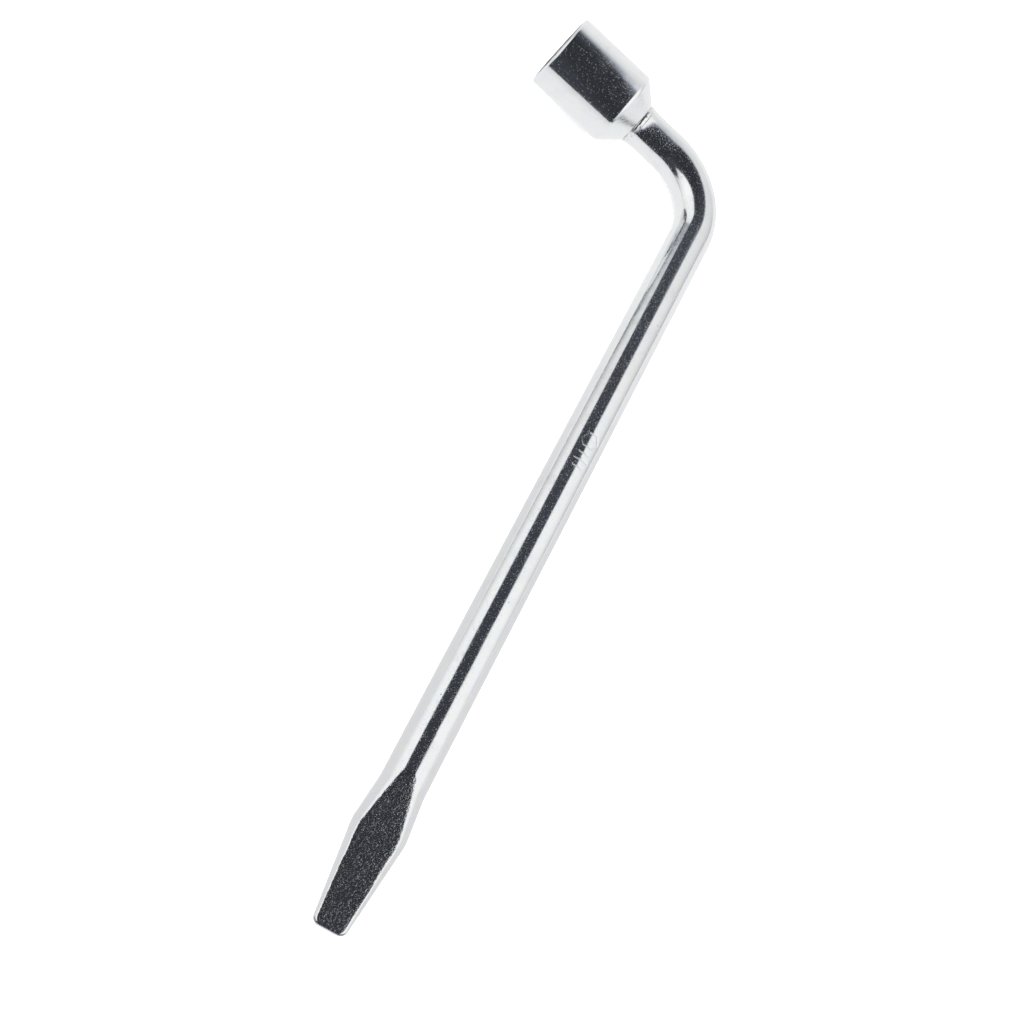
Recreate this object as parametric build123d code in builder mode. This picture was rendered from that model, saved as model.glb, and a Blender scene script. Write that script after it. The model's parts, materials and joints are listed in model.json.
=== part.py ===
"""L-shaped lug wrench: a bent round bar, a turned hexagon socket welded to its short arm, and a pry tip.

Millimetres, +Z up. The wrench lies as it would on a floor: the handle runs along +X and touches Z = 0 with its
whole length, and the head leans on its shoulder, so the mouth looks a little upward. The origin is on the floor,
under the middle of the wrench's box.
"""

import os
from math import asin, atan2, cos, degrees, hypot, radians, sin, sqrt, tan

from build123d import *

# Bar
bar_dia = 14.0
bend_radius = 24.0          # to the bar's centre line
elbow_angle = 97.0          # inside the L, between the head's axis and the handle's
head_reach = 70.0           # from the mouth to the crossing of the two axes
handle_reach = 282.0        # from that crossing to the end of the pry tip

# Socket head, measured along its axis from the mouth
hex_across_flats = 19.2     # a 19 mm nut and its clearance
hex_depth = 17.0
lead_in_dia = 23.0          # countersink that guides the nut in
mouth_lead_in = 1.6
head_dia = 27.0
barrel_length = 28.2
shoulder_radius = 1.0
mouth_chamfer = 0.6
stud_bore_dia = 18.8        # clears the wheel stud behind the hexagon
stud_bore_depth = 23.0      # down to the cone that the drill's point leaves
drill_point_angle = 118.0
head_length = 35.2
cone_end_dia = 15.2

# The joint between the head and the bar
spigot_dia = 10.0
plug_length = 1.0           # the spigot stops this far behind the rim of its hole
plug_cap_dia = 13.0
plug_crown_dia = 7.0
plug_crown_height = 0.7     # above the cap's own edge
groove_root_dia = 12.0      # bottom of the V where the ring weld lies
head_bevel = 0.4
bar_bevel = 1.4
ring_crest_dia = 14.9
neck_dia = 14.5             # the bar right behind the ring weld, dressed down to bar_dia
neck_blend = 5.0

# Pry tip: (distance from its end, half width, half width of the flat, half thickness)
tip_length = 49.5
tip_turn = 12.5             # degrees that the flats are turned about the handle, from the plane of the L
tip_flat_start = 0.6
tip_stations = (
    (45.0, 7.05, 2.85, 6.50),
    (38.0, 7.7, 4.5, 5.70),
    (31.0, 8.4, 6.0, 4.85),
    (27.0, 7.95, 6.4, 4.40),
    (14.0, 6.5, 5.3, 2.85),
    (0.0, 5.0, 4.0, 1.20),
)
tip_corner_radius = 1.8

bar_r = bar_dia / 2
head_r = head_dia / 2

# The head's axis rises until the shoulder's rounded edge, like the handle, just touches the floor.
cone_slope = atan2(head_r - cone_end_dia / 2, head_length - head_bevel - barrel_length)
shoulder_reach = head_reach - barrel_length + shoulder_radius * tan(cone_slope / 2)
shoulder_core = head_r - shoulder_radius
head_rise = degrees(
    atan2(shoulder_core, shoulder_reach)
    - asin((bar_r - shoulder_radius) / hypot(shoulder_core, shoulder_reach))
)
elbow_sin = sin(radians(elbow_angle))
elbow_cos = cos(radians(elbow_angle))
pitch_sin = sin(radians(head_rise)) / elbow_sin
pitch_cos = sqrt(1 - pitch_sin**2)

# The crossing of the two axes, set so that the wrench's box is centred on the origin.
mouth_side = -head_reach * elbow_sin * pitch_cos - head_r * sqrt(1 - (elbow_sin * pitch_cos) ** 2)
tip_side = max(half_width for _, half_width, _, _ in tip_stations) * cos(radians(tip_turn) - asin(pitch_sin))
head_end = head_reach * elbow_cos - head_r * elbow_sin
crossing = Vector(-(handle_reach + head_end) / 2, -(mouth_side + tip_side) / 2, bar_r)

# The L lies in wrench_plane: its X is the handle's direction and its Z the L's upper side.
wrench_plane = Plane(origin=crossing, x_dir=(1, 0, 0), z_dir=(0, pitch_sin, pitch_cos))
handle_dir = wrench_plane.x_dir
blade_plane = wrench_plane.rotated((tip_turn, 0, 0))
inward = -(wrench_plane.x_dir * elbow_cos - wrench_plane.y_dir * elbow_sin)
mouth_centre = crossing - inward * head_reach

# head_section holds the head's axis: its X is the depth from the mouth and its Y the radius.
head_section = Plane(origin=mouth_centre, x_dir=inward, z_dir=wrench_plane.z_dir)
mouth_plane = Plane(origin=mouth_centre, x_dir=wrench_plane.z_dir, z_dir=-inward)
head_axis = Axis(mouth_centre, inward)

neck_end = head_length + bar_bevel + neck_blend

# The tip's rounded corners start where its sides are a corner radius from its end.
(last_from_end, last_half_width), (end_from_end, end_half_width) = [station[:2] for station in tip_stations[-2:]]
side_slope = (last_half_width - end_half_width) / (last_from_end - end_from_end)
corner_centre = end_half_width + (side_slope - 1) * tip_corner_radius
floor_slope = 1 / tan(radians(drill_point_angle / 2))
floor_depth = stud_bore_depth + (stud_bore_dia - spigot_dia) / 2 * floor_slope
spigot_end = floor_depth + plug_length


# Socket head: turned barrel and cone, hexagon for the nut, stud bore behind it, hole for the bar's spigot.
with BuildPart() as socket_head:
    with BuildSketch(head_section):
        with BuildLine():
            Polyline(
                (0, 0),
                (0, head_r - mouth_chamfer),
                (mouth_chamfer, head_r),
                (barrel_length, head_r),
                (head_length - head_bevel, cone_end_dia / 2),
                (head_length, groove_root_dia / 2),
                (head_length, 0),
                close=True,
            )
        make_face()
    revolve(axis=head_axis)
    fillet(
        socket_head.edges().filter_by(GeomType.CIRCLE).group_by(SortBy.RADIUS)[-1].sort_by(head_axis)[-1],
        radius=shoulder_radius,
    )
    with BuildSketch(head_section):
        with BuildLine():
            Polyline(
                (0, 0),
                (0, lead_in_dia / 2),
                (mouth_lead_in, stud_bore_dia / 2),
                (stud_bore_depth, stud_bore_dia / 2),
                (floor_depth, spigot_dia / 2),
                (head_length, spigot_dia / 2),
                (head_length, 0),
                close=True,
            )
        make_face()
    revolve(axis=head_axis, mode=Mode.SUBTRACT)
    with BuildSketch(mouth_plane.offset(-hex_depth)):
        RegularPolygon(hex_across_flats / 2, 6, major_radius=False)
    extrude(amount=hex_depth, mode=Mode.SUBTRACT)
socket_head.part.label = "socket_head"


# Shank bar: spigot, dressed neck, bend, handle and forged pry tip, all one bar.
with BuildPart() as shank_bar:
    with BuildLine(wrench_plane) as centre_line:
        neck_reach = head_reach - neck_end
        FilletPolyline(
            (neck_reach * elbow_cos, -neck_reach * elbow_sin),
            (0, 0),
            (handle_reach - tip_length, 0),
            radius=bend_radius,
        )
    with BuildSketch(Plane(origin=centre_line.line @ 0, z_dir=centre_line.line % 0)):
        Circle(bar_r)
    sweep()
    with BuildSketch(head_section):
        with BuildLine():
            Polyline(
                (spigot_end, 0),
                (spigot_end, spigot_dia / 2),
                (head_length, spigot_dia / 2),
                (head_length, groove_root_dia / 2),
                (head_length + bar_bevel, neck_dia / 2),
                (neck_end, bar_r),
                (neck_end, 0),
                close=True,
            )
        make_face()
    revolve(axis=head_axis)
    start_thickness = sqrt(bar_r**2 - tip_flat_start**2)
    for from_end, half_width, flat, half_thickness in (
        (tip_length, bar_r, tip_flat_start, start_thickness),
        *tip_stations,
    ):
        section = Plane(
            origin=crossing + handle_dir * (handle_reach - from_end),
            x_dir=blade_plane.y_dir,
            z_dir=handle_dir,
        )
        with BuildSketch(section):
            with BuildLine():
                Line((-flat, half_thickness), (flat, half_thickness))
                ThreePointArc((flat, half_thickness), (half_width, 0), (flat, -half_thickness))
                Line((flat, -half_thickness), (-flat, -half_thickness))
                ThreePointArc((-flat, -half_thickness), (-half_width, 0), (-flat, half_thickness))
            make_face()
    loft(ruled=True)
    with BuildSketch(blade_plane):
        with Locations((handle_reach, corner_centre + tip_corner_radius)):
            Rectangle(2 * tip_corner_radius, 2 * tip_corner_radius)
        with Locations((handle_reach - tip_corner_radius, corner_centre)):
            Circle(tip_corner_radius, mode=Mode.SUBTRACT)
        mirror(about=Plane.XZ)
    extrude(amount=bar_r, both=True, mode=Mode.SUBTRACT)
shank_bar.part.label = "shank_bar"

# Ring weld: fills the V between the head's bevel and the bar's, up to just below the end of the cone.
bevel_share = (ring_crest_dia - groove_root_dia) / (cone_end_dia - groove_root_dia)
with BuildPart() as neck_ring_weld:
    with BuildSketch(head_section):
        with BuildLine():
            head_edge = (head_length - head_bevel * bevel_share, ring_crest_dia / 2)
            bar_edge = (head_length + bar_bevel, neck_dia / 2)
            root = (head_length, groove_root_dia / 2)
            Line(bar_edge, root)
            Line(root, head_edge)
            ThreePointArc(head_edge, (head_length + bar_bevel / 3, ring_crest_dia / 2 + 0.05), bar_edge)
        make_face()
    revolve(axis=head_axis)
neck_ring_weld.part.label = "neck_ring_weld"

# Plug weld: ties the spigot's end to the socket's floor, the cone that the drill left, and closes the hole in it.
plug_edge_depth = floor_depth - (plug_cap_dia - spigot_dia) / 2 * floor_slope
plug_crown_depth = plug_edge_depth - plug_crown_height
with BuildPart() as socket_plug_weld:
    with BuildSketch(head_section):
        with BuildLine():
            Polyline(
                (spigot_end, 0),
                (spigot_end, spigot_dia / 2),
                (floor_depth, spigot_dia / 2),
                (plug_edge_depth, plug_cap_dia / 2),
                (plug_crown_depth, plug_crown_dia / 2),
                (plug_crown_depth, 0),
                close=True,
            )
        make_face()
    revolve(axis=head_axis)
socket_plug_weld.part.label = "socket_plug_weld"

os.makedirs("parts", exist_ok=True)
export_step(shank_bar.part, "parts/shank_bar.step")
export_step(socket_head.part, "parts/socket_head.step")
export_step(neck_ring_weld.part, "parts/neck_ring_weld.step")
export_step(socket_plug_weld.part, "parts/socket_plug_weld.step")
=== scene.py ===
"""Looks of the L-shaped lug wrench: chromed bar with a forged pry tip, turned socket head, and two welds.

Metres, in the frame of the CAD model. Every piece is a closed surface worked out on a grid, and
stands for the CAD node that its maker names.
"""

import json
from math import cos, pi, radians, sin, tan

import bpy
import numpy as np
from mathutils import Matrix, Vector


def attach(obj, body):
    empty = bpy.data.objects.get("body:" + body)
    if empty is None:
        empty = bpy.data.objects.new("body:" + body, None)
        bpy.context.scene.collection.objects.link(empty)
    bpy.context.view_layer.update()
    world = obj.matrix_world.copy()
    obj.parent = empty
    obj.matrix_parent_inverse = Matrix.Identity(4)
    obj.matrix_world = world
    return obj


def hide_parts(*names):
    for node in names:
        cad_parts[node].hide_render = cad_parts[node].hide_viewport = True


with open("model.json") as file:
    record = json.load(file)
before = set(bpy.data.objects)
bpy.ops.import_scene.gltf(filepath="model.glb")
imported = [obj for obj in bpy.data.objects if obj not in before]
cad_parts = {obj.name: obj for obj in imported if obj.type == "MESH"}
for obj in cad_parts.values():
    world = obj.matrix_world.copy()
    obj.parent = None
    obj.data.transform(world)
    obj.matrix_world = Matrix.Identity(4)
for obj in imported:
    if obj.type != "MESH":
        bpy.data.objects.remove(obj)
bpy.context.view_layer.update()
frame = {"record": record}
mm = 0.001

# --------------------------------------------------------------------------------------------------
# Sizes of the wrench
# --------------------------------------------------------------------------------------------------
bar_r = 7.0 * mm
bend_r = 24.0 * mm                  # to the bar's centre line
head_reach = 70.0 * mm              # mouth to the crossing of the head's axis and the handle's
handle_reach = 282.0 * mm           # that crossing to the end of the pry tip

hex_half = 9.6 * mm                 # half of the distance across flats
hex_depth = 17.0 * mm
lead_in_r = 11.5 * mm
stud_bore_r = 9.4 * mm
stud_bore_depth = 23.0 * mm
lead_in_depth = 1.6 * mm            # of a cone from lead_in_r to the stud bore's radius
head_r = 13.5 * mm
barrel_length = 28.2 * mm
head_length = 35.2 * mm
cone_end_r = 7.6 * mm
head_bevel = 0.4 * mm
mouth_chamfer = 0.6 * mm
groove_root_r = 6.0 * mm
spigot_r = 5.0 * mm
drill_half_angle = radians(59)
floor_depth = stud_bore_depth + (stud_bore_r - spigot_r) / tan(drill_half_angle)
spigot_end = floor_depth + 1.0 * mm

ring_crest_r = 7.45 * mm
neck_start = head_length + 1.4 * mm
neck_blend = 5.0 * mm


# --------------------------------------------------------------------------------------------------
# The frame's own lines: the head's axis, the handle's axis and the plane of the L
# --------------------------------------------------------------------------------------------------
def mount(name):
    """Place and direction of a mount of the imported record, as arrays."""
    found = next(m for m in frame["record"]["mounts"] if m["name"] == name)
    return np.array(found["pos_m"]), np.array(found["axis"])


stud_bore_middle, out_of_mouth = mount("stud_bore")
inward = -out_of_mouth
mouth = stud_bore_middle - inward * (hex_depth + stud_bore_depth) / 2
along_handle = np.array([1.0, 0.0, 0.0])
upper_side = np.cross(along_handle, inward)
upper_side /= np.linalg.norm(upper_side)
turn = np.arccos(inward @ along_handle)


# --------------------------------------------------------------------------------------------------
# Surfaces
# --------------------------------------------------------------------------------------------------
def smooth_step(low, high, value):
    """0 below low, 1 above high, and 3t^2 - 2t^3 between."""
    t = np.clip((value - low) / (high - low), 0, 1)
    return t * t * (3 - 2 * t)


def soft_min(first, second, sharpness):
    """(a^-p + b^-p)^(-1/p): the smaller of two lengths, rounded where they are alike."""
    return (first**-sharpness + second**-sharpness) ** (-1 / sharpness)


def spaced(*stretches):
    """Joins stretches (from, to, steps) into one rising row of values, with no value twice."""
    rows = [np.linspace(low, high, steps, endpoint=False) for low, high, steps in stretches]
    return np.concatenate(rows + [[stretches[-1][1]]])


def make_piece(name, rings, node, material, closed=False, marks=None):
    """Turns rings, an array (ring, place round it, xyz), into a mesh piece that stands for a CAD node.

    Neighbouring places on neighbouring rings make four-sided faces. A closed surface joins its last
    ring to its first, and any other gets a middle point and a fan of triangles at each end. Faces
    are turned outwards if the volume they enclose comes out negative.
    """
    count, around, _ = rings.shape
    index = np.arange(count * around).reshape(count, around)
    beside = np.roll(index, -1, axis=1)
    low = index if closed else index[:-1]
    low_beside = beside if closed else beside[:-1]
    high = np.roll(index, -1, axis=0) if closed else index[1:]
    high_beside = np.roll(beside, -1, axis=0) if closed else beside[1:]
    quads = np.stack([low, low_beside, high_beside, high], axis=-1).reshape(-1, 4)
    points = rings.reshape(-1, 3)
    fans = np.empty((0, 3), dtype=int)
    if not closed:
        poles = rings[[0, -1]].mean(axis=1)
        first, last = len(points), len(points) + 1
        points = np.concatenate([points, poles])
        fan_first = np.stack([beside[0], index[0], np.full(around, first)], axis=-1)
        fan_last = np.stack([index[-1], beside[-1], np.full(around, last)], axis=-1)
        fans = np.concatenate([fan_first, fan_last])
    a, b, c, d = (points[quads[:, k]] for k in range(4))
    volume = np.einsum("ij,ij->", a, np.cross(b, c)) + np.einsum("ij,ij->", a, np.cross(c, d))
    if volume < 0:
        quads, fans = quads[:, ::-1], fans[:, ::-1]
    mesh = bpy.data.meshes.new(name)
    mesh.vertices.add(len(points))
    mesh.vertices.foreach_set("co", points.ravel())
    corners = np.concatenate([quads.ravel(), fans.ravel()])
    starts = np.concatenate([np.arange(len(quads)) * 4, len(quads) * 4 + np.arange(len(fans)) * 3])
    mesh.loops.add(len(corners))
    mesh.loops.foreach_set("vertex_index", corners.astype(np.int32))
    mesh.polygons.add(len(starts))
    mesh.polygons.foreach_set("loop_start", starts.astype(np.int32))
    mesh.polygons.foreach_set("use_smooth", np.ones(len(starts), dtype=bool))
    mesh.update(calc_edges=True)
    for mark, values in (marks or {}).items():
        attribute = mesh.attributes.new(mark, "FLOAT", "POINT")
        attribute.data.foreach_set("value", np.resize(values.ravel(), len(points)).astype(np.float32))
    mesh.materials.append(material)
    piece = bpy.data.objects.new(name, mesh)
    bpy.context.scene.collection.objects.link(piece)
    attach(piece, "root")
    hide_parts(node)
    return piece


def rounded_profile(corners, radii, steps=6, closed=False):
    """Rounds a profile's corners, each with a quadratic curve whose ends lie on the corner's two sides.

    corners is an array (corner, place round the axis, 2). The answer has steps + 1 points for each
    corner.
    """
    before, after = np.roll(corners, 1, axis=0) - corners, np.roll(corners, -1, axis=0) - corners
    if not closed:
        before[0], after[-1] = 0, 0
    reach_before = np.linalg.norm(before, axis=-1, keepdims=True)
    reach_after = np.linalg.norm(after, axis=-1, keepdims=True)
    reach = np.minimum(np.array(radii)[:, None, None], 0.45 * np.minimum(reach_before, reach_after))
    start = corners + before / np.maximum(reach_before, 1e-12) * reach
    finish = corners + after / np.maximum(reach_after, 1e-12) * reach
    t = np.linspace(0, 1, steps + 1)[None, :, None, None]
    curve = (1 - t) ** 2 * start[:, None] + 2 * t * (1 - t) * corners[:, None] + t**2 * finish[:, None]
    return curve.reshape(-1, *corners.shape[1:])


def around_head(profile, angle):
    """Carries a profile, an array (row, place, (depth, radius)), round the head's axis."""
    depth, radius = profile[..., 0:1], profile[..., 1:2]
    side = np.cross(inward, upper_side)
    direction = np.cos(angle)[None, :, None] * upper_side + np.sin(angle)[None, :, None] * side
    return mouth + depth * inward + radius * direction


# --------------------------------------------------------------------------------------------------
# Shank bar
# --------------------------------------------------------------------------------------------------
# The blade: each row is a distance from its end, then half the blade's width or half its flats' width.
blade_width = np.array([[0, 5.0], [31, 8.4], [45.5, 7.0], [60, 7.0]]) * mm
blade_flats = np.array([
    [0, 4.0],
    [14, 5.3],
    [22, 5.65],
    [28, 6.5],
    [36.3, 4.85],
    [45, 2.85],
    [49, 1.0],
]) * mm
widest_flats = 0.93                 # as a share of the blade's width there
blade_end_thickness = 1.2 * mm      # half of it
blade_slope = 0.118                 # growth of half the thickness, for each length from the end
blade_twist = radians(-12.5)        # of the flats, about the handle, from the plane of the L
blade_corner_r = 2.0 * mm
blade_end_round = 0.7 * mm
blade_fade = (46 * mm, 52 * mm)     # from the end: the blade's section turns into the bar's
flats_fade = (47 * mm, 60 * mm)     # from the end: the flats rise clear of the bar
twist_fade = (50 * mm, 90 * mm)     # from the end: the section turns back to the plane of the L
edge_sharpness = 34                 # of the flats' edges
size_mark_middle = 116.0 * mm       # from the crossing of the axes
size_mark_half_length = 8.0 * mm    # of the stretch that has fine rows
size_mark_depth = 0.10 * mm
spigot_chamfer = 0.4 * mm
neck_flare = 0.25 * mm              # how much wider the neck is than the bar at the weld
neck_flare_length = 1.25 * mm
bend_tangent = bend_r * tan(turn / 2)
bend_start = head_reach - bend_tangent
bend_length = bend_r * turn


def eased(table, place, reach=1.0 * mm):
    """Reads a table of straight stretches, averaged over a reach to each side to ease its corners."""
    shifts = np.linspace(-reach, reach, 9)
    return np.mean([np.interp(place + shift, table[:, 0], table[:, 1]) for shift in shifts], axis=0)


def bar_line(s):
    """Centre line at length s from the mouth: straight to the bend, its arc, then along the handle.

    Answers the points, and the directions across the line in the plane of the L.
    """
    angle = np.clip((s - bend_start) / bend_r, 0, turn)[:, None]
    run_in = np.minimum(s, bend_start)[:, None]
    run_out = np.maximum(s - bend_start - bend_length, 0)[:, None]
    inside = along_handle - inward * (inward @ along_handle)
    inside /= np.linalg.norm(inside)
    across = np.sin(angle) * inward - np.cos(angle) * inside
    arc = bend_r * (np.sin(angle) * inward + (1 - np.cos(angle)) * inside)
    return mouth + run_in * inward + arc + run_out * along_handle, across


def size_mark(u, v):
    """Depth share, 0 to 1, of the stamped mark at u along the handle and v across it, both from its middle.

    A hexagon's outline and three ticks: each stroke is a valley as wide as the punch, with soft sides. The
    hexagon's outline is where the largest of three folded distances is its own half width.
    """
    stroke, soft = 0.36 * mm, 0.22 * mm
    hexagon_place, hexagon_half = -4.2 * mm, 2.45 * mm
    ticks = ((0.9 * mm, 1.5 * mm), (3.5 * mm, 2.2 * mm), (6.1 * mm, 1.5 * mm))
    folds = [(u - hexagon_place) * cos(k * pi / 3) + v * sin(k * pi / 3) for k in range(3)]
    distance = np.abs(np.maximum.reduce([np.abs(fold) for fold in folds]) - hexagon_half)
    for place, half in ticks:
        across, past_end = np.abs(u - place), np.maximum(np.abs(v) - half, 0)
        distance = np.minimum(distance, np.hypot(across, past_end))
    return 1 - smooth_step(stroke - soft, stroke + soft, distance)


def shank_bar(material):
    """The whole bar: a section carried along the centre line.

    The section is an ellipse, a circle but for the blade, cut by two flats whose distance from the
    middle grows evenly from the blade's end. The ellipse's height is the one that gives the flats
    their width, thickness / sqrt(1 - (flats / width)^2), and never more than the bar's radius. Rows
    crowd at the neck, the bend, the size mark and the blade, and columns at the flats' edges and
    over the size mark.
    """
    handle_start = bend_start + bend_length
    mark_s = handle_start + size_mark_middle - bend_tangent
    total = handle_start + handle_reach - bend_tangent
    step_half = 0.05 * mm
    mark_start, mark_end = mark_s - size_mark_half_length, mark_s + size_mark_half_length
    blade_start, corner_start, round_start = total - 62 * mm, total - 2.2 * mm, total - 0.75 * mm
    s = spaced(
        (spigot_end, spigot_end + spigot_chamfer, 4),
        (spigot_end + spigot_chamfer, head_length - step_half, 6),
        (head_length - step_half, head_length + step_half, 2),
        (head_length + step_half, neck_start, 4),
        (neck_start, neck_start + 2 * neck_blend, 50),
        (neck_start + 2 * neck_blend, bend_start, 6),
        (bend_start, handle_start, 80),
        (handle_start, mark_start, 20),
        (mark_start, mark_end, 120),
        (mark_end, blade_start, 16),
        (blade_start, corner_start, 150),
        (corner_start, round_start, 12),
        (round_start, total, 14),
    )
    from_end = np.maximum(total - s, 0)

    corner = np.clip(blade_corner_r - from_end, 0, blade_corner_r)
    cut_corner = blade_corner_r - np.sqrt(blade_corner_r**2 - corner**2)
    edge = np.clip(blade_end_round - from_end, 0, blade_end_round)
    cut_edge = blade_end_round - np.sqrt(blade_end_round**2 - edge**2)
    width = eased(blade_width, from_end)
    flats = np.minimum(eased(blade_flats, from_end), widest_flats * width)
    thickness = np.minimum(blade_end_thickness + blade_slope * from_end, bar_r)
    height = np.minimum(thickness / np.sqrt(1 - (flats / width) ** 2), bar_r)
    on_blade = 1 - smooth_step(*blade_fade, from_end)
    height = bar_r + (height - bar_r) * on_blade
    share = (width - cut_corner) / width
    width, height = width * share, height * (1 - cut_edge / blade_end_thickness * 0.8)
    thickness = thickness - cut_edge

    flared = bar_r + neck_flare * np.exp(-(s - neck_start) / neck_flare_length)
    inner = np.where(s < head_length, spigot_r, groove_root_r)
    turned = np.where(s < neck_start - 0.001 * mm, inner, flared)
    spigot_edge = np.clip(spigot_chamfer - (s - spigot_end), 0, spigot_chamfer)
    is_turned = s < bend_start
    width = np.where(is_turned, turned - spigot_edge, width)
    height = np.where(is_turned, turned - spigot_edge, height)

    edge_angle = np.arctan2(flats, thickness)
    on_bar = np.interp(from_end, [flats_fade[0], twist_fade[1]], [0.25, 0.5])
    edge_angle = np.where(from_end > flats_fade[0], on_bar, edge_angle)
    crowd = 0.07
    quarter = np.stack([0 * s, edge_angle - crowd, edge_angle + crowd, 0 * s + pi / 2])
    steps_top, steps_under = (30, 8, 12), (12, 8, 12)
    place_top = spaced(*((k, k + 1, steps_top[k]) for k in range(3)))
    place_under = spaced(*((k, k + 1, steps_under[k]) for k in range(3)))

    def angles(place):
        """Angles of the columns, where a whole place stands for a value of quarter."""
        low = np.minimum(place.astype(int), 2)
        part = (place - low)[None, :]
        return quarter[low].T * (1 - part) + quarter[low + 1].T * part

    top, under = angles(place_top), pi - angles(place_under)
    angle = np.concatenate([top, under[:, -2:0:-1], 2 * pi - under[:, :-1], 2 * pi - top[:, :0:-1]], axis=1)
    sine, cosine = np.sin(angle), np.cos(angle)
    oval = 1 / np.sqrt((sine / width[:, None]) ** 2 + (cosine / height[:, None]) ** 2)
    flat = thickness[:, None] / np.maximum(np.abs(cosine), 1e-3)
    out_of_reach = 40 * mm
    flat = flat + (smooth_step(*flats_fade, from_end) * out_of_reach)[:, None]
    radius = soft_min(oval / mm, flat / mm, edge_sharpness) * mm
    radius = np.where(is_turned[:, None], oval, radius)

    twist = blade_twist * (1 - smooth_step(*twist_fade, from_end))[:, None]
    across_mark = bar_r * np.where(angle > pi, angle - 2 * pi, angle)
    stamped = size_mark(s[:, None] - mark_s, across_mark)
    radius = radius - size_mark_depth * stamped
    centre, across = bar_line(s)
    sine, cosine = np.sin(angle + twist)[..., None], np.cos(angle + twist)[..., None]
    offset = sine * across[:, None, :] + cosine * upper_side
    rings = centre[:, None, :] + radius[..., None] * offset
    on_flat = (1 - smooth_step(0.99, 1.03, flat / oval)) * on_blade[:, None]
    marks = {"forged": on_flat, "stamped": stamped}
    return make_piece("bar_skin", rings, "shank_bar", material, marks=marks)


# --------------------------------------------------------------------------------------------------
# Socket head and welds
# --------------------------------------------------------------------------------------------------
def hexagon_radius(angle):
    """Distance from the axis to a hexagon's wall: the soft minimum of half / cos(angle) over its sides."""
    sides = angle[:, None] - (np.arange(6) * pi / 3)[None, :]
    facing = np.maximum(np.cos(sides), 1e-3)
    return ((facing / hex_half) ** 60).sum(axis=1) ** (-1 / 60)


def socket_head(material):
    """A closed profile turned round the axis, but for the hexagon, whose wall changes with the angle.

    The countersink's edge follows from it: a cone meets each flat in a shallow arc.
    """
    turn_angle = np.linspace(0, 2 * pi, 288, endpoint=False)
    angle = turn_angle + 0.6 * np.sin(6 * turn_angle) / 6
    wall = hexagon_radius(angle)
    lead_slope = (lead_in_r - stud_bore_r) / lead_in_depth
    lead_end = (lead_in_r - wall) / lead_slope
    ones = np.ones_like(angle)
    # Each row is a corner's depth, its radius and how far its rounding reaches along each side, in mm.
    corners = (
        (head_length * ones, spigot_r * ones, 0.0),
        (head_length * ones, groove_root_r * ones, 0.05),
        (head_length - head_bevel * ones, cone_end_r * ones, 0.15),
        (barrel_length * ones, head_r * ones, 0.75),
        (mouth_chamfer * ones, head_r * ones, 0.30),
        (0 * ones, (head_r - mouth_chamfer) * ones, 0.25),
        (0 * ones, lead_in_r * ones, 0.20),
        (lead_end, wall, 0.12),
        (hex_depth * ones, wall, 0.25),
        (hex_depth * ones, stud_bore_r * ones, 0.10),
        (stud_bore_depth * ones, stud_bore_r * ones, 0.30),
        (floor_depth * ones, spigot_r * ones, 0.10),
    )
    places = np.array([[depth, radius] for depth, radius, _ in corners]).transpose(0, 2, 1)
    profile = rounded_profile(places, [radius * mm for _, _, radius in corners], closed=True)
    depth, radius = profile[..., 0], profile[..., 1]
    past_mouth, past_floor = depth > 0.02 * mm, depth > floor_depth + 0.5 * mm
    inner = (radius < lead_in_r + 0.05 * mm) & past_mouth & ~past_floor
    on_cone = (radius > groove_root_r) & (depth > barrel_length) & (radius < head_r)
    marks = {"inside": inner.astype(float), "cone": on_cone.astype(float)}
    rings = around_head(profile, angle)
    return make_piece("head_skin", rings, "socket_head", material, closed=True, marks=marks)


def neck_ring_weld(material):
    """A closed profile in the V between head and bar: a thin groove at the head, then a flare.

    The flare carries the neck's curve on with a slower fall, bar + flare * exp(-length / (1.2 * flare
    length)), up to the crest. Its ripples die away towards the bar.
    """
    angle = np.linspace(0, 2 * pi, 360, endpoint=False)
    ones = np.ones_like(angle)
    share = (ring_crest_r - groove_root_r) / (cone_end_r - groove_root_r)
    head_edge = head_length - head_bevel * share
    ripple_depth, ripple_length = 0.045 * mm, 1.3 * mm
    length = np.linspace(0.22, 1, 22)[:, None] * (neck_start - head_edge)
    to_bar = neck_start - head_edge - length
    curve = bar_r + neck_flare * np.exp(to_bar / (neck_flare_length * 1.2))
    ripple = np.cos(23 * angle + 1.1 * np.sin(3 * angle)) * np.sin(5 * angle + 0.7)
    ripple = ripple_depth * ripple[None, :] * np.sin(pi * np.clip(to_bar / ripple_length, 0, 1))
    flare = np.stack([(head_edge + length) * ones, np.minimum(curve + ripple, ring_crest_r)], axis=-1)
    edges = np.array([
        [head_length, groove_root_r],
        [head_edge + 0.30 * mm, ring_crest_r - 0.75 * mm],
        [head_edge + 0.02 * mm, ring_crest_r - 0.10 * mm],
        [head_edge + 0.06 * mm, ring_crest_r - 0.22 * mm],
        [head_edge + 0.14 * mm, ring_crest_r - 0.20 * mm],
    ])
    edges = np.broadcast_to(edges[:, None, :], (len(edges), len(angle), 2))
    rings = around_head(np.concatenate([edges, flare]), angle)
    return make_piece("ring_weld_skin", rings, "neck_ring_weld", material, closed=True)


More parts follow.
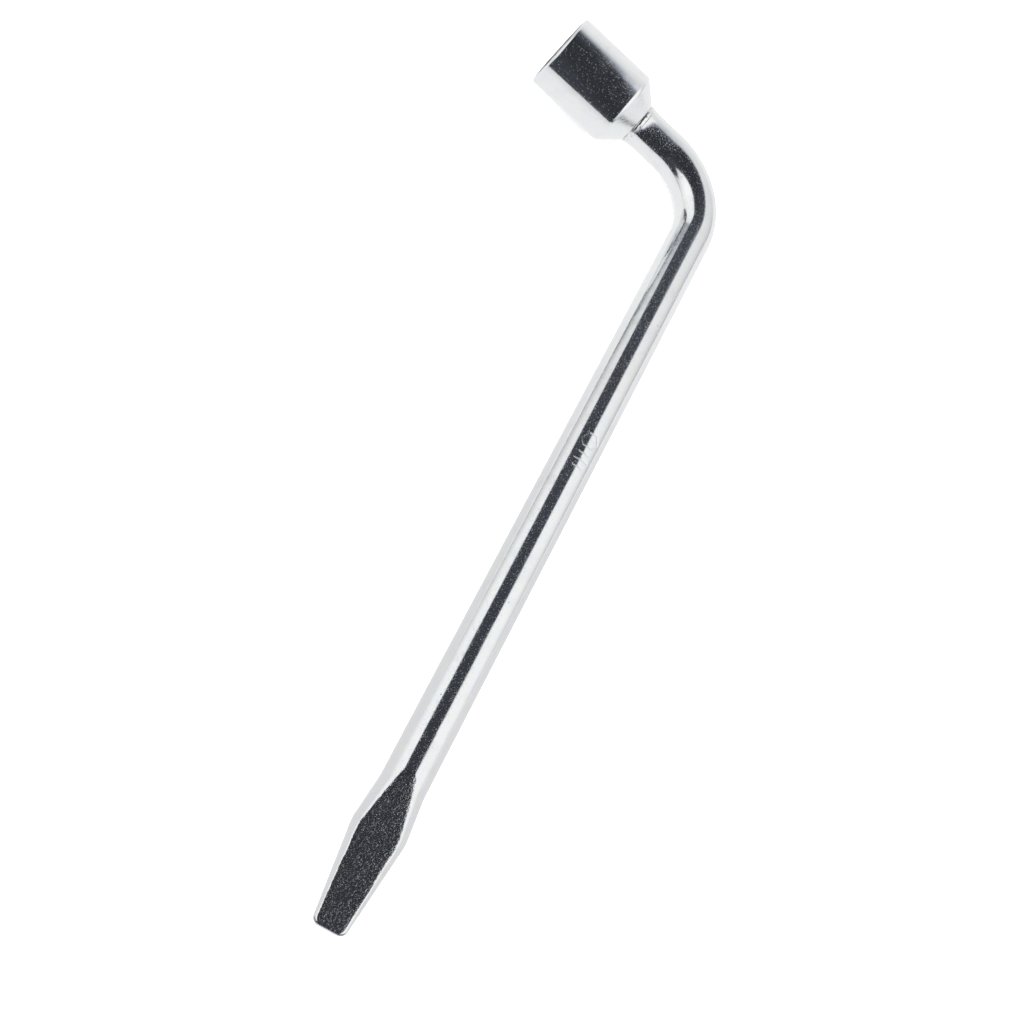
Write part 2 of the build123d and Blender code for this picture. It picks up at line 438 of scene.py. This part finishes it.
def socket_plug_weld(material):
    """A low cap with a spiral of ripples over it, on a plug as wide as the spigot.

    The cap's height is crown * (1 - (radius / its own radius)^4), and the ripples are a cosine of the
    radius less the angle round.
    """
    seat_r, cap_r, ripples_r = 6.5 * mm, 6.4 * mm, 6.0 * mm
    crown, ripple_depth, ripple_spacing = 0.62 * mm, 0.05 * mm, 1.5 * mm
    middle_r, spigot_bevel = 0.15 * mm, 0.1 * mm
    angle = np.linspace(0, 2 * pi, 160, endpoint=False)
    edge_depth = floor_depth - (seat_r - spigot_r) / tan(drill_half_angle)
    radius = spaced((middle_r, cap_r, 60))[:, None]
    swirl = np.cos(2 * pi * radius / ripple_spacing - angle[None, :])
    lift = crown * (1 - (radius / cap_r) ** 4) + ripple_depth * swirl * (radius < ripples_r)
    cap = np.stack([edge_depth - lift, np.broadcast_to(radius, lift.shape)], axis=-1)
    lower = np.array([
        [floor_depth, spigot_r],
        [spigot_end - spigot_bevel, spigot_r],
        [spigot_end, spigot_bevel],
    ])
    lower = np.broadcast_to(lower[:, None, :], (3, len(angle), 2))
    rings = around_head(np.concatenate([cap, lower]), angle)
    return make_piece("plug_weld_skin", rings, "socket_plug_weld", material)


# --------------------------------------------------------------------------------------------------
# Materials
# --------------------------------------------------------------------------------------------------
class Value:
    """A shader number that Python's arithmetic works on. Each operation adds its Math node."""

    def __init__(self, maker, socket):
        self.maker, self.socket = maker, socket

    def math(self, operation, other, swapped=False):
        """One Math node on this value and another, which comes first if swapped."""
        values = [other, self] if swapped else [self, other]
        return self.maker.node("ShaderNodeMath", {"operation": operation}, values)

    def __add__(self, other):
        return self.math("ADD", other)

    def __sub__(self, other):
        return self.math("SUBTRACT", other)

    def __rsub__(self, other):
        return self.math("SUBTRACT", other, swapped=True)

    def __mul__(self, other):
        return self.math("MULTIPLY", other)

    __radd__, __rmul__ = __add__, __mul__

    def clamp(self, low, high):
        """0 below low, 1 above high, smooth between."""
        settings = {"interpolation_type": "SMOOTHSTEP"}
        inputs = {"Value": self, "From Min": low, "From Max": high}
        return self.maker.node("ShaderNodeMapRange", settings, inputs)


class Maker:
    """Makes one material: its nodes, and the shader that they feed."""

    def __init__(self, name):
        self.material = bpy.data.materials.new(name)
        self.material.use_nodes = True
        self.tree = self.material.node_tree
        self.shader = next(n for n in self.tree.nodes if n.type == "BSDF_PRINCIPLED")
        self.place = self.node("ShaderNodeTexCoord", {}, {}, "Object")

    def node(self, kind, settings, inputs, output=0):
        """Adds a node, sets it up, then gives its sockets values or links. Answers one of its outputs."""
        made = self.tree.nodes.new(kind)
        for setting, value in settings.items():
            setattr(made, setting, value)
        for key, value in inputs.items() if isinstance(inputs, dict) else enumerate(inputs):
            self.feed(made.inputs[key], value)
        return Value(self, made.outputs[output])

    def feed(self, socket, value):
        """Links a value to a socket, or sets a plain number or colour on it."""
        if isinstance(value, Value):
            self.tree.links.new(value.socket, socket)
        else:
            socket.default_value = value

    def noise(self, scale, detail=3.0, stretch=(1, 1, 1), turn=(0, 0, 0), roughness=0.5, shift=(0, 0, 0)):
        """Noise of that many waves a metre, stretched along the axes of a turned frame."""
        mapping = {"Vector": self.place, "Scale": stretch, "Rotation": turn, "Location": shift}
        place = self.node("ShaderNodeMapping", {}, mapping)
        inputs = {"Vector": place, "Scale": scale, "Detail": detail, "Roughness": roughness}
        return self.node("ShaderNodeTexNoise", {}, inputs, "Fac")

    def pits(self, spacing, size, share):
        """1 in round pits of that size, in a share of cells that are spacing apart, and 0 elsewhere."""
        cells = {"Vector": self.place, "Scale": 1 / spacing, "Randomness": 1.0}
        distance = self.node("ShaderNodeTexVoronoi", {}, cells, "Distance")
        lot = self.node("ShaderNodeTexVoronoi", {}, cells, "Color")
        drawn = self.node("ShaderNodeSeparateColor", {}, {"Color": lot}, "Red")
        chosen = drawn.clamp(1 - share, 1 - share + 0.02)
        reach = size / spacing
        return chosen * (1 - distance.clamp(reach * 0.35, reach))

    def mark(self, name):
        """The piece's own painted-on number of that name."""
        return self.node("ShaderNodeAttribute", {"attribute_name": name}, {}, "Fac")

    def mix(self, share, first, second):
        """A colour that goes from first to second as share goes from 0 to 1."""
        inputs = {"Factor": share, 6: first, 7: second}     # sockets 6 and 7 are the ones for colours
        return self.node("ShaderNodeMix", {"data_type": "RGBA"}, inputs, 2)

    def bump(self, height, depth, under=None):
        """A normal from a height of 0 to 1 that stands for that depth in metres."""
        inputs = {"Height": height, "Distance": depth, "Strength": 1.0}
        if under is not None:
            inputs["Normal"] = under
        return self.node("ShaderNodeBump", {}, inputs)

    def finish(self, **sockets):
        """Feeds the shader's sockets, named with underscores for spaces. Answers the material."""
        for name, value in sockets.items():
            self.feed(self.shader.inputs[name.replace("_", " ")], value)
        return self.material


bright = (0.83, 0.84, 0.85, 1)
smoky = (0.72, 0.73, 0.74, 1)
bluish = (0.81, 0.83, 0.86, 1)
greenish = (0.82, 0.85, 0.82, 1)
grime = (0.20, 0.18, 0.16, 1)
unpolished = (0.42, 0.42, 0.43, 1)
weld_shade = (0.35, 0.34, 0.33, 1)
weld_grey = (0.46, 0.44, 0.42, 1)
heat_stain = (0.22, 0.17, 0.12, 1)


def plated(name, haze=1.0):
    """Chrome over drawn steel: slow waves from drawing and polishing, pits, and a haze of specks."""
    m = Maker(name)
    waves = m.noise(55, detail=2.0)
    ripple = m.noise(260, detail=2.0)
    grain = m.noise(2200, detail=3.0, roughness=0.6)
    specks = m.noise(2600, detail=2.0, roughness=0.7, shift=(2, 5, 1)).clamp(0.49, 0.70)
    fine_pits = m.pits(0.50 * mm, 0.13 * mm, 0.4)
    large_pits = m.pits(4.0 * mm, 0.26 * mm, 0.3)
    cloud = m.noise(120, detail=5.0, roughness=0.6)
    tint = m.mix(m.noise(260, detail=3.0, shift=(3, 1, 2)).clamp(0.40, 0.62), bright, bluish)
    tint = m.mix(m.noise(330, detail=3.0, shift=(6, 2, 9)).clamp(0.50, 0.70), tint, greenish)
    colour = m.mix(cloud.clamp(0.5, 0.75) * 0.5, tint, smoky)
    colour = m.mix(large_pits * 0.7, colour, grime)
    rough = 0.05 + 0.05 * cloud.clamp(0.4, 0.7) + haze * 0.26 * specks + 0.22 * fine_pits + 0.3 * large_pits
    normal = m.bump(waves, 0.08 * mm)
    normal = m.bump(ripple, 0.010 * mm, normal)
    normal = m.bump(grain, haze * 0.004 * mm, normal)
    normal = m.bump(1 - fine_pits, 0.02 * mm, normal)
    normal = m.bump(1 - large_pits, 0.04 * mm, normal)
    return m, colour, rough, normal


def bar_chrome():
    """Plated bar, with hammered grain under the plate on the tip's flats, and a frosted size mark."""
    m, colour, rough, normal = plated("chrome on drawn bar")
    flats = m.mark("forged")
    stamped = m.mark("stamped")
    peel = m.noise(1100, detail=3.0, roughness=0.65)
    dents = m.noise(330, detail=2.0, shift=(1, 4, 2))
    normal = m.bump((peel - 0.5) * flats, 0.13 * mm, normal)
    normal = m.bump((dents - 0.5) * flats, 0.10 * mm, normal)
    normal = m.bump(m.noise(3000, detail=2.0) * stamped, 0.03 * mm, normal)
    rough = rough + 0.04 * flats + 0.12 * stamped
    return m.finish(Base_Color=colour, Metallic=1.0, Roughness=rough, Normal=normal)


def head_chrome(turn_to_head):
    """Plated head: turning marks round the cone, and a duller, broached inside with some grime."""
    m, colour, rough, normal = plated("chrome on turned head", haze=0.6)
    cone = m.mark("cone")
    inside = m.mark("inside")
    turned = m.noise(1.0, detail=2.0, stretch=(40, 40, 4200), turn=turn_to_head)
    broached = m.noise(1.0, detail=2.0, stretch=(2600, 2600, 60), turn=turn_to_head)
    normal = m.bump(turned * cone, 0.035 * mm, normal)
    normal = m.bump(turned, 0.0015 * mm, normal)
    normal = m.bump(broached * inside, 0.02 * mm, normal)
    dull = m.mix(m.noise(300, detail=5.0).clamp(0.35, 0.7), unpolished, grime)
    colour = m.mix(inside, colour, dull)
    rough = rough + 0.08 * cone + 0.22 * inside
    return m.finish(Base_Color=colour, Metallic=1.0, Roughness=rough, Normal=normal)


def ring_weld_chrome():
    """Plate over a dressed weld: rippled, slightly cloudy, darker in its low places."""
    m, colour, rough, normal = plated("chrome on ring weld")
    lumps = m.noise(900, detail=3.0)
    normal = m.bump(lumps, 0.05 * mm, normal)
    colour = m.mix(lumps.clamp(0.5, 0.65) * 0.5, colour, weld_shade)
    return m.finish(Base_Color=colour, Metallic=1.0, Roughness=rough + 0.08, Normal=normal)


def plug_weld_steel():
    """Thinly plated weld at the bottom of the socket, with brown heat stain and spatter."""
    m = Maker("thinly plated weld")
    stain = m.noise(420, detail=5.0, roughness=0.6)
    spatter = m.pits(0.8 * mm, 0.3 * mm, 0.3)
    colour = m.mix(stain.clamp(0.35, 0.65), weld_grey, heat_stain)
    normal = m.bump(stain, 0.05 * mm)
    normal = m.bump(spatter, 0.05 * mm, normal)
    return m.finish(Base_Color=colour, Metallic=1.0, Roughness=0.35 + 0.2 * stain, Normal=normal)


head_frame = Matrix([Vector(np.cross(inward, upper_side)), Vector(upper_side), Vector(inward)])
turn_to_head = tuple(head_frame.to_euler("XYZ"))
shank_bar(bar_chrome())
socket_head(head_chrome(turn_to_head))
neck_ring_weld(ring_weld_chrome())
socket_plug_weld(plug_weld_steel())


# --------------------------------------------------------------------------------------------------
# Studio: pale floor, white light all round, and a light tent and a table that only the chrome shows
# --------------------------------------------------------------------------------------------------
def stage_mesh(name, points, faces, material, seen_only_in_chrome):
    """A piece of the studio. One seen only in the chrome casts no shadow and lights nothing else."""
    mesh = bpy.data.meshes.new(name)
    mesh.from_pydata(points, [], faces)
    mesh.materials.append(material)
    made = bpy.data.objects.new(name, mesh)
    bpy.context.scene.collection.objects.link(made)
    if seen_only_in_chrome:
        made.visible_camera = made.visible_diffuse = False
        made.visible_shadow = made.visible_transmission = False
    return made


def glowing(name):
    """A black surface that shines with the colour painted on its points."""
    m = Maker(name)
    m.material.cycles.emission_sampling = "NONE"
    glow = m.node("ShaderNodeAttribute", {"attribute_name": "glow"}, {}, "Color")
    black = {"Base_Color": (0, 0, 0, 1), "Roughness": 1.0, "Specular_IOR_Level": 0.0}
    return m.finish(Emission_Color=glow, Emission_Strength=1.0, **black)


def band(low, high, soft_low, soft_high, value):
    """1 between low and high, falling to 0 within each end's own softness."""
    risen = smooth_step(low - soft_low, low + soft_low, value)
    return risen * (1 - smooth_step(high - soft_high, high + soft_high, value))


def hump(middle, width, value):
    """exp(-t^2), where t is the distance from the middle over the width."""
    return np.exp(-(((value - middle) / width) ** 2))


# The open top's near edge: each row is degrees along X, then degrees along Y.
near_edge = np.array([
    [-44, -37],
    [-36, -34.5],
    [-28, -33],
    [-20, -37],
    [-8, -36],
    [4, -34],
    [16, -32],
    [28, -30.5],
    [40, -29],
    [48, -27.5],
])


def tent_glow(u, v):
    """Colour of the light tent towards u degrees along X and v degrees along Y from straight overhead.

    White cloth, brightest towards the middle; the open top and the dark room beyond it, along X from
    over the head to the horizon beyond the pry tip, with an open flap to each side near that end; a
    dark seam in the cloth; and the tent's foot, a thin grey line.
    """
    slant = np.hypot(u, v)
    white = 0.84 + 0.22 * smooth_step(-48, -28, u) + 0.06 * hump(14, 18, u)
    near_cloth = smooth_step(-20, -60, v) * smooth_step(-26, -44, u)
    white = white - 0.16 * smooth_step(30, 60, u) - 0.05 * near_cloth
    white = white + 0.12 * smooth_step(-56, -76, u)
    foot = 0.26 * hump(86 + 2 * (v < 0), 2.4, slant) * (0.55 + 0.45 * smooth_step(-20, -50, u))
    white = white - (foot + 0.12 * smooth_step(66, 80, slant)) * smooth_step(-76, -60, u)

    far_half = smooth_step(-2, 10, v)
    head_end, head_end_soft = -49 + 2 * far_half, 4 + 9 * far_half
    near_side = np.interp(u, near_edge[:, 0], near_edge[:, 1])
    far_side = 17 + 2 * smooth_step(-34, -20, u)
    open_top = band(head_end, 93, head_end_soft, 6, u) * band(near_side, far_side, 3, 4, v)
    near_flap = band(54, 85, 6, 6, u) * band(-55, -18, 6, 4, v)
    far_flap = band(46, 93, 8, 6, u) * band(0, 27, 4, 5, v)
    seam_middle = -43.5 + (v + 38) * 0.2
    seam = 0.9 * hump(seam_middle, 1.7, u) * band(-84, -33, 5, 3, v)
    dark = np.maximum.reduce([open_top, near_flap, far_flap, seam])
    room = 0.036 + 0.030 * smooth_step(-10, -38, u)
    room = room + 0.02 * smooth_step(20, 60, u) * smooth_step(6, -6, v)
    level = white * (1 - dark) + room * dark
    tint_dark, tint_white = np.array([0.90, 0.97, 1.16]), np.array([1.0, 1.0, 0.995])
    tint = tint_white + (tint_dark - tint_white) * dark[..., None]
    return level[..., None] * tint


def table_glow(x):
    """Colour of the table in the chrome: paler beside the head, and ending just past the pry tip."""
    level = 0.82 + 0.16 * smooth_step(0.02, -0.12, x)
    past_tip = smooth_step(0.154, 0.168, x)
    level = level * (1 - past_tip) + 0.05 * past_tip
    return level[:, None] * np.ones(3)


def paint(piece, colours):
    """Gives each point of a mesh its colour."""
    attribute = piece.data.attributes.new("glow", "FLOAT_COLOR", "POINT")
    with_alpha = np.column_stack([colours, np.ones(len(colours))])
    attribute.data.foreach_set("color", with_alpha.ravel().astype(np.float32))


def light_tent(material):
    """Half a sphere: rings one degree apart from overhead down to the horizon, and a fan at the top."""
    tent_r = 6.0
    slants, turns = np.linspace(1, 90, 90), np.radians(np.arange(0, 360, 1.0))
    u = slants[:, None] * np.cos(turns)
    v = slants[:, None] * np.sin(turns)
    ring = np.sin(np.radians(slants))[:, None]
    height = np.broadcast_to(np.cos(np.radians(slants))[:, None], u.shape)
    points = tent_r * np.stack([ring * np.cos(turns), ring * np.sin(turns), height], axis=-1)
    points = points.reshape(-1, 3)
    index = np.arange(u.size).reshape(u.shape)
    beside = np.roll(index, -1, axis=1)
    faces = np.stack([index[:-1], index[1:], beside[1:], beside[:-1]], axis=-1)
    faces = faces.reshape(-1, 4).tolist()
    top = len(points)
    points = np.concatenate([points, [[0, 0, tent_r]]])
    faces += np.stack([index[0], beside[0], np.full(len(turns), top)], axis=-1).tolist()
    tent = stage_mesh("light_tent", points.tolist(), faces, material, True)
    overhead = np.zeros(1)
    paint(tent, np.concatenate([tent_glow(u, v).reshape(-1, 3), tent_glow(overhead, overhead)]))


def table_in_chrome(material, reach):
    """A flat sheet at the floor's height, cut into thin strips across X where its colour changes."""
    x = np.concatenate([[-reach], np.linspace(-0.2, 0.2, 161), [reach]])
    near = np.stack([x, -reach + 0 * x, 0 * x], axis=-1)
    far = np.stack([x, reach + 0 * x, 0 * x], axis=-1)
    low = np.arange(len(x) - 1)
    faces = np.stack([low, low + 1, low + 1 + len(x), low + len(x)], axis=-1).tolist()
    table = stage_mesh("table_in_chrome", np.concatenate([near, far]).tolist(), faces, material, True)
    paint(table, np.tile(table_glow(x), (2, 1)))


def studio():
    """Floor, world light, tent and table."""
    paper = Maker("pale floor")
    fibres = paper.noise(40, detail=4.0)
    floor_colour = paper.mix(fibres, (0.91, 0.91, 0.91, 1), (0.93, 0.93, 0.93, 1))
    reach = 6.0
    square = [(-reach, -reach, 0), (reach, -reach, 0), (reach, reach, 0), (-reach, reach, 0)]
    floor_finish = paper.finish(Base_Color=floor_colour, Roughness=0.9)
    floor = stage_mesh("floor", square, [(0, 1, 2, 3)], floor_finish, False)
    floor.visible_glossy = False

    world = bpy.data.worlds.new("soft white light")
    world.use_nodes = True
    background = next(n for n in world.node_tree.nodes if n.type == "BACKGROUND")
    background.inputs["Color"].default_value = (1.0, 1.0, 1.0, 1)
    background.inputs["Strength"].default_value = 2.6
    bpy.context.scene.world = world

    shine = glowing("tent cloth")
    light_tent(shine)
    table_in_chrome(shine, reach)


studio()

# --------------------------------------------------------------------------------------------------
# Camera: from above the pry tip's side, turned so that the handle runs down the picture
# --------------------------------------------------------------------------------------------------
aim = Vector((0.0136, 0.0223, 0.007))
camera_azimuth, camera_elevation, camera_roll = radians(-10.93), radians(60.78), radians(40.6)
camera_distance = 0.600
back_dir = Vector((
    cos(camera_elevation) * cos(camera_azimuth),
    cos(camera_elevation) * sin(camera_azimuth),
    sin(camera_elevation),
))
level_right = Vector((-sin(camera_azimuth), cos(camera_azimuth), 0))
level_up = back_dir.cross(level_right)
right_dir = level_right * cos(camera_roll) + level_up * sin(camera_roll)
up_dir = back_dir.cross(right_dir)
camera_data = bpy.data.cameras.new("camera")
camera_data.lens = 70.3
camera = bpy.data.objects.new("camera", camera_data)
turned = Matrix([right_dir, up_dir, back_dir]).transposed().to_4x4()
camera.matrix_world = Matrix.Translation(aim + back_dir * camera_distance) @ turned
bpy.context.scene.collection.objects.link(camera)
bpy.context.scene.camera = camera
bpy.context.scene.view_settings.view_transform = "Standard"
